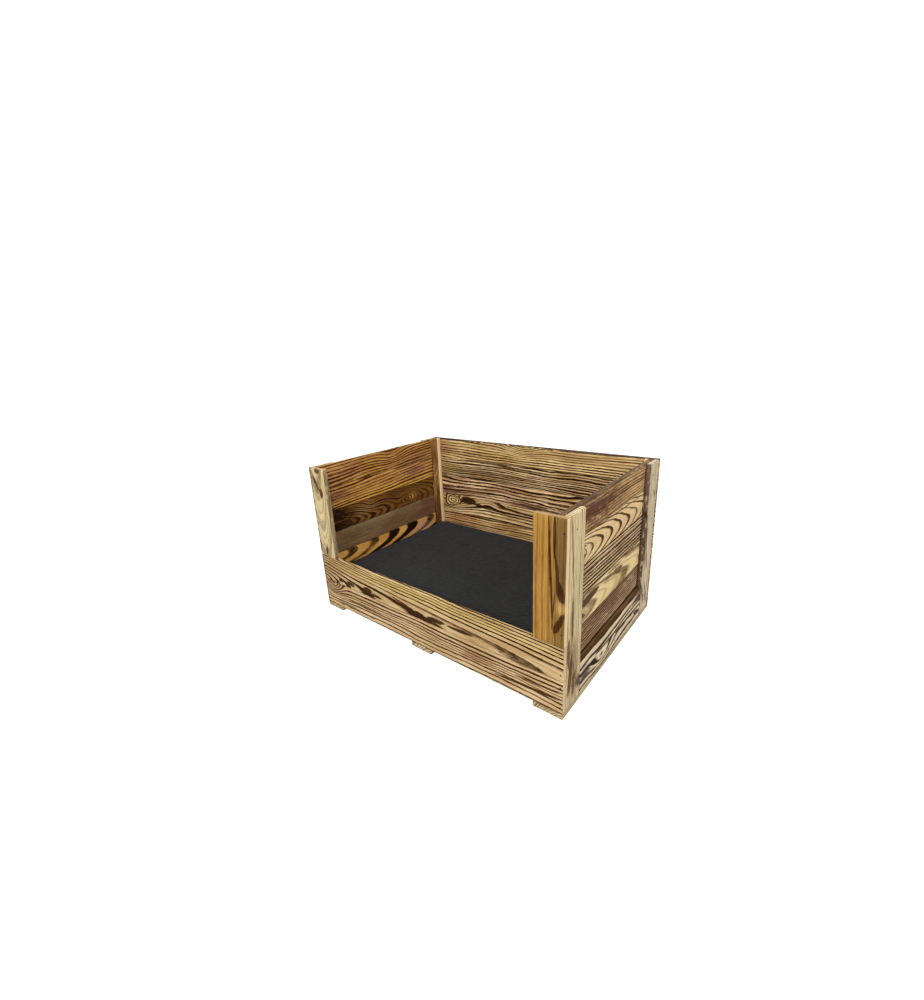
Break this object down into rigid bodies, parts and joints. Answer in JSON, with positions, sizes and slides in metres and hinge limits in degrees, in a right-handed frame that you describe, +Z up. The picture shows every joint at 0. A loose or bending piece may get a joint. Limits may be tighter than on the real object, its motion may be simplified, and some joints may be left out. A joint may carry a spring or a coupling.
{
  "type": "dog bed with frame",
  "caption": "Rectangular nailed crate bed of torched pine boards with three high walls, a low front, plank runners below and a flat lift-out mattress.",
  "frame": {"origin": "middle of the footprint, on the floor that the runners stand on", "axes": "+X to the right wall seen from the low entry side, +Y from the entry to the back wall, +Z up"},
  "size_m": [0.75, 0.502, 0.4126],
  "materials": {
    "torched_pine_front": "open-pored softwood, surface torched and wire-brushed, matt, with dark late wood lines over pale early wood",
    "torched_pine_uprights": "open-pored softwood, surface torched and wire-brushed, matt, with dark late wood lines over pale early wood; the uprights are paler",
    "torched_pine_sides": "open-pored softwood, surface torched and wire-brushed, matt, with dark late wood lines over pale early wood; the side planks are more burnt",
    "torched_pine_rails": "open-pored softwood, surface torched and wire-brushed, matt, with dark late wood lines over pale early wood; greyer along the bottom rails",
    "torched_pine_back": "open-pored softwood, surface torched and wire-brushed, matt, with dark late wood lines over pale early wood",
    "torched_pine_base": "open-pored softwood, surface torched and wire-brushed, matt, with dark late wood lines over pale early wood",
    "planed_pine": "planed softwood, barely burnt, matt",
    "nail_steel": "dull wire nail, darkened",
    "charcoal_fabric": "ribbed charcoal upholstery cloth, matt",
    "foam": "open-cell polyurethane foam"
  },
  "bodies": {
    "crate": {"back_plank_1": "torched_pine_back", "back_plank_2": "torched_pine_back", "back_plank_3": "torched_pine_back", "back_plank_4": "torched_pine_back", "back_plank_5": "torched_pine_back", "back_rail": "torched_pine_back", "floor_slat_1": "torched_pine_base", "floor_slat_2": "torched_pine_base", "floor_slat_3": "torched_pine_base", "floor_slat_4": "torched_pine_base", "floor_slat_5": "torched_pine_base", "front_board_lower": "torched_pine_front", "front_board_upper": "torched_pine_front", "front_post_left": "torched_pine_uprights", "front_post_right": "torched_pine_uprights", "left_corner_board_front": "torched_pine_uprights", "left_corner_board_rear": "torched_pine_uprights", "left_corner_lath": "planed_pine", "left_lower_board_nail_1": "nail_steel", "left_lower_board_nail_2": "nail_steel", "left_plank_1": "torched_pine_sides", "left_plank_2": "torched_pine_sides", "left_plank_3": "torched_pine_sides", "left_plank_4": "torched_pine_sides", "left_plank_5": "torched_pine_sides", "left_plank_6": "torched_pine_sides", "left_post_nail_1": "nail_steel", "left_post_nail_2": "nail_steel", "left_rail": "torched_pine_rails", "left_rear_post": "torched_pine_sides", "left_upper_board_nail_1": "nail_steel", "left_upper_board_nail_2": "nail_steel", "right_corner_board_front": "torched_pine_uprights", "right_corner_board_rear": "torched_pine_uprights", "right_corner_lath": "planed_pine", "right_lower_board_nail_1": "nail_steel", "right_lower_board_nail_2": "nail_steel", "right_plank_1": "torched_pine_sides", "right_plank_2": "torched_pine_sides", "right_plank_3": "torched_pine_sides", "right_plank_4": "torched_pine_sides", "right_plank_5": "torched_pine_sides", "right_plank_6": "torched_pine_sides", "right_post_nail_1": "nail_steel", "right_post_nail_2": "nail_steel", "right_rail": "torched_pine_rails", "right_rear_post": "torched_pine_sides", "right_upper_board_nail_1": "nail_steel", "right_upper_board_nail_2": "nail_steel", "runner_left": "torched_pine_base", "runner_middle": "torched_pine_base", "runner_right": "torched_pine_base"},
    "mattress": {"mattress_cover": "charcoal_fabric", "mattress_base_panel": "charcoal_fabric", "mattress_core": "foam"}
  },
  "joints": [
    {"name": "mattress_lift", "type": "slide", "parent": "crate", "child": "mattress", "axis": [0, 0, 1], "range_m": [0, 0.4]}
  ]
}
